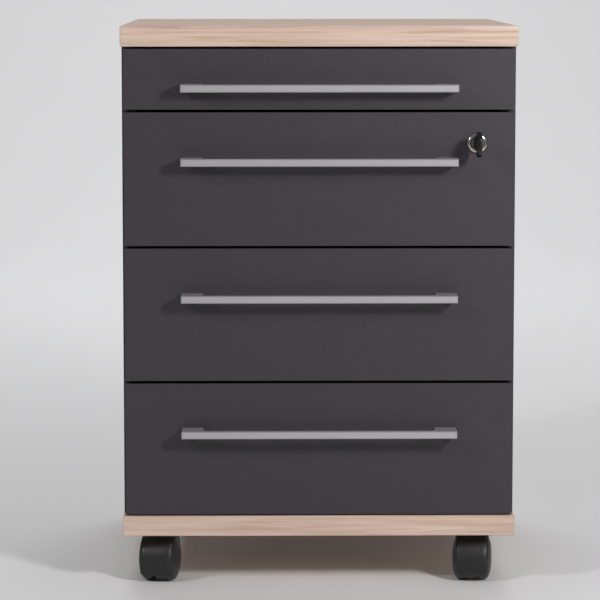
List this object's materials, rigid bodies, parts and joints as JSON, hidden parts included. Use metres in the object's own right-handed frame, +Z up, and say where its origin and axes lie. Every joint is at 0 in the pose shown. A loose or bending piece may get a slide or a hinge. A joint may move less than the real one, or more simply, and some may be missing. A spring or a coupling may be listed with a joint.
{
  "type": "rolling pedestal cabinet",
  "caption": "Rolling pedestal cabinet: anthracite carcass and drawer fronts between light wood-decor boards, bar handles, a cam lock with its key, and hooded swivel casters.",
  "frame": {"origin": "middle of the bounding box on the floor, under the wheels", "axes": "+X to the right seen from the front, +Y to the back, +Z up; the drawers open towards -Y"},
  "size_m": [0.42, 0.471, 0.6],
  "materials": {
    "wood_decor": "light pinkish-beige wood-grain decor on chipboard, satin, grain from side to side",
    "wood_edge_band": "the same decor as a 2 mm edge band, long horizontal grain, edges eased",
    "anthracite_board": "anthracite melamine facing on chipboard, fine matt pearl texture",
    "zinc_fittings": "bright zinc plating",
    "beech_dowel": "raw beech",
    "coated_runner_steel": "white epoxy coating on pressed sheet steel",
    "drawer_lining_board": "light grey melamine facing, matt",
    "drawer_base_board": "thin lacquered hardboard, light grey",
    "satin_handle_metal": "satin silver-grey, sprayed metal",
    "roller_plastic": "white nylon",
    "nickel_lock": "polished nickel plating",
    "key_black": "black moulded bow on a nickel blade",
    "caster_hood_plastic": "black nylon, fine satin",
    "caster_wheel_plastic": "black nylon, satin"
  },
  "bodies": {
    "cabinet": {"top_panel": "wood_decor", "bottom_panel": "wood_decor", "edge_bands": "wood_edge_band", "side_panel_left": "anthracite_board", "side_panel_right": "anthracite_board", "back_panel": "anthracite_board", "cam_connectors": "zinc_fittings", "wood_dowels": "beech_dowel", "confirmat_screws": "zinc_fittings", "cabinet_runners_left": "coated_runner_steel", "cabinet_runners_right": "coated_runner_steel", "runner_screws": "zinc_fittings", "lock_keeper": "zinc_fittings", "caster_plates": "zinc_fittings", "caster_screws": "zinc_fittings"},
    "drawer_1": {"drawer_front_1": "anthracite_board", "drawer_box_1": "drawer_lining_board", "drawer_bottom_1": "drawer_base_board", "drawer_runners_1": "coated_runner_steel", "drawer_handle_1": "satin_handle_metal"},
    "drawer_2": {"drawer_front_2": "anthracite_board", "drawer_box_2": "drawer_lining_board", "drawer_bottom_2": "drawer_base_board", "drawer_runners_2": "coated_runner_steel", "drawer_handle_2": "satin_handle_metal", "lock_housing": "nickel_lock", "lock_nut": "zinc_fittings"},
    "drawer_3": {"drawer_front_3": "anthracite_board", "drawer_box_3": "drawer_lining_board", "drawer_bottom_3": "drawer_base_board", "drawer_runners_3": "coated_runner_steel", "drawer_handle_3": "satin_handle_metal"},
    "drawer_4": {"drawer_front_4": "anthracite_board", "drawer_box_4": "drawer_lining_board", "drawer_bottom_4": "drawer_base_board", "drawer_runners_4": "coated_runner_steel", "drawer_handle_4": "satin_handle_metal"},
    "front_rollers_1": {"front_rollers_1": "roller_plastic"},
    "rear_rollers_1": {"rear_rollers_1": "roller_plastic"},
    "front_rollers_2": {"front_rollers_2": "roller_plastic"},
    "rear_rollers_2": {"rear_rollers_2": "roller_plastic"},
    "front_rollers_3": {"front_rollers_3": "roller_plastic"},
    "rear_rollers_3": {"rear_rollers_3": "roller_plastic"},
    "front_rollers_4": {"front_rollers_4": "roller_plastic"},
    "rear_rollers_4": {"rear_rollers_4": "roller_plastic"},
    "lock_cylinder": {"lock_plug": "nickel_lock", "lock_cam": "zinc_fittings"},
    "key": {"key": "key_black"},
    "caster_front_left": {"caster_hood_front_left": "caster_hood_plastic"},
    "wheel_front_left_outer": {"wheel_front_left_outer": "caster_wheel_plastic"},
    "wheel_front_left_inner": {"wheel_front_left_inner": "caster_wheel_plastic"},
    "caster_front_right": {"caster_hood_front_right": "caster_hood_plastic"},
    "wheel_front_right_outer": {"wheel_front_right_outer": "caster_wheel_plastic"},
    "wheel_front_right_inner": {"wheel_front_right_inner": "caster_wheel_plastic"},
    "caster_back_left": {"caster_hood_back_left": "caster_hood_plastic"},
    "wheel_back_left_outer": {"wheel_back_left_outer": "caster_wheel_plastic"},
    "wheel_back_left_inner": {"wheel_back_left_inner": "caster_wheel_plastic"},
    "caster_back_right": {"caster_hood_back_right": "caster_hood_plastic"},
    "wheel_back_right_outer": {"wheel_back_right_outer": "caster_wheel_plastic"},
    "wheel_back_right_inner": {"wheel_back_right_inner": "caster_wheel_plastic"}
  },
  "joints": [
    {"name": "drawer_1_slide", "type": "slide", "parent": "cabinet", "child": "drawer_1", "axis": [0, -1, 0], "range_m": [0, 0.28]},
    {"name": "drawer_2_slide", "type": "slide", "parent": "cabinet", "child": "drawer_2", "axis": [0, -1, 0], "range_m": [0, 0.28]},
    {"name": "drawer_3_slide", "type": "slide", "parent": "cabinet", "child": "drawer_3", "axis": [0, -1, 0], "range_m": [0, 0.28]},
    {"name": "drawer_4_slide", "type": "slide", "parent": "cabinet", "child": "drawer_4", "axis": [0, -1, 0], "range_m": [0, 0.28]},
    {"name": "front_roller_1_spin", "type": "hinge", "parent": "cabinet", "child": "front_rollers_1", "pos_m": [0, -0.1555, 0.5259], "axis": [1, 0, 0], "continuous": true},
    {"name": "rear_roller_1_spin", "type": "hinge", "parent": "drawer_1", "child": "rear_rollers_1", "pos_m": [0, 0.1505, 0.5259], "axis": [1, 0, 0], "continuous": true},
    {"name": "front_roller_2_spin", "type": "hinge", "parent": "cabinet", "child": "front_rollers_2", "pos_m": [0, -0.1555, 0.3875], "axis": [1, 0, 0], "continuous": true},
    {"name": "rear_roller_2_spin", "type": "hinge", "parent": "drawer_2", "child": "rear_rollers_2", "pos_m": [0, 0.1505, 0.3875], "axis": [1, 0, 0], "continuous": true},
    {"name": "front_roller_3_spin", "type": "hinge", "parent": "cabinet", "child": "front_rollers_3", "pos_m": [0, -0.1555, 0.2431], "axis": [1, 0, 0], "continuous": true},
    {"name": "rear_roller_3_spin", "type": "hinge", "parent": "drawer_3", "child": "rear_rollers_3", "pos_m": [0, 0.1505, 0.2431], "axis": [1, 0, 0], "continuous": true},
    {"name": "front_roller_4_spin", "type": "hinge", "parent": "cabinet", "child": "front_rollers_4", "pos_m": [0, -0.1555, 0.0987], "axis": [1, 0, 0], "continuous": true},
    {"name": "rear_roller_4_spin", "type": "hinge", "parent": "drawer_4", "child": "rear_rollers_4", "pos_m": [0, 0.1505, 0.0987], "axis": [1, 0, 0], "continuous": true},
    {"name": "lock_turn", "type": "hinge", "parent": "drawer_2", "child": "lock_cylinder", "pos_m": [0.167, -0.18, 0.4764], "axis": [0, -1, 0], "range_deg": [-90, 0]},
    {"name": "key_slide", "type": "slide", "parent": "lock_cylinder", "child": "key", "axis": [0, -1, 0], "range_m": [0, 0.03]},
    {"name": "swivel_front_left", "type": "hinge", "parent": "cabinet", "child": "caster_front_left", "pos_m": [-0.1685, -0.1385, 0.045], "axis": [0, 0, 1], "continuous": true},
    {"name": "wheel_front_left_outer_spin", "type": "hinge", "parent": "caster_front_left", "child": "wheel_front_left_outer", "pos_m": [-0.17163, -0.15623, 0.025], "axis": [0.9848, -0.1736, 0], "continuous": true},
    {"name": "wheel_front_left_inner_spin", "type": "hinge", "parent": "caster_front_left", "child": "wheel_front_left_inner", "pos_m": [-0.17163, -0.15623, 0.025], "axis": [0.9848, -0.1736, 0], "continuous": true},
    {"name": "swivel_front_right", "type": "hinge", "parent": "cabinet", "child": "caster_front_right", "pos_m": [0.1685, -0.1385, 0.045], "axis": [0, 0, 1], "continuous": true},
    {"name": "wheel_front_right_outer_spin", "type": "hinge", "parent": "caster_front_right", "child": "wheel_front_right_outer", "pos_m": [0.16709, -0.15644, 0.025], "axis": [0.9969, -0.0785, 0], "continuous": true},
    {"name": "wheel_front_right_inner_spin", "type": "hinge", "parent": "caster_front_right", "child": "wheel_front_right_inner", "pos_m": [0.16709, -0.15644, 0.025], "axis": [0.9969, -0.0785, 0], "continuous": true},
    {"name": "swivel_back_left", "type": "hinge", "parent": "cabinet", "child": "caster_back_left", "pos_m": [-0.1685, 0.1795, 0.045], "axis": [0, 0, 1], "continuous": true},
    {"name": "wheel_back_left_outer_spin", "type": "hinge", "parent": "caster_back_left", "child": "wheel_back_left_outer", "pos_m": [-0.16005, 0.16361, 0.025], "axis": [0.8829, 0.4695, 0], "continuous": true},
    {"name": "wheel_back_left_inner_spin", "type": "hinge", "parent": "caster_back_left", "child": "wheel_back_left_inner", "pos_m": [-0.16005, 0.16361, 0.025], "axis": [0.8829, 0.4695, 0], "continuous": true},
    {"name": "swivel_back_right", "type": "hinge", "parent": "cabinet", "child": "caster_back_right", "pos_m": [0.1685, 0.1795, 0.045], "axis": [0, 0, 1], "continuous": true},
    {"name": "wheel_back_right_outer_spin", "type": "hinge", "parent": "caster_back_right", "child": "wheel_back_right_outer", "pos_m": [0.16176, 0.16281, 0.025], "axis": [0.9272, -0.3746, 0], "continuous": true},
    {"name": "wheel_back_right_inner_spin", "type": "hinge", "parent": "caster_back_right", "child": "wheel_back_right_inner", "pos_m": [0.16176, 0.16281, 0.025], "axis": [0.9272, -0.3746, 0], "continuous": true}
  ],
  "couplings": [
    {"joint": "front_roller_1_spin", "follows": "drawer_1_slide", "rad_per_m": 100},
    {"joint": "rear_roller_1_spin", "follows": "drawer_1_slide", "rad_per_m": 100},
    {"joint": "front_roller_2_spin", "follows": "drawer_2_slide", "rad_per_m": 100},
    {"joint": "rear_roller_2_spin", "follows": "drawer_2_slide", "rad_per_m": 100},
    {"joint": "front_roller_3_spin", "follows": "drawer_3_slide", "rad_per_m": 100},
    {"joint": "rear_roller_3_spin", "follows": "drawer_3_slide", "rad_per_m": 100},
    {"joint": "front_roller_4_spin", "follows": "drawer_4_slide", "rad_per_m": 100},
    {"joint": "rear_roller_4_spin", "follows": "drawer_4_slide", "rad_per_m": 100}
  ]
}
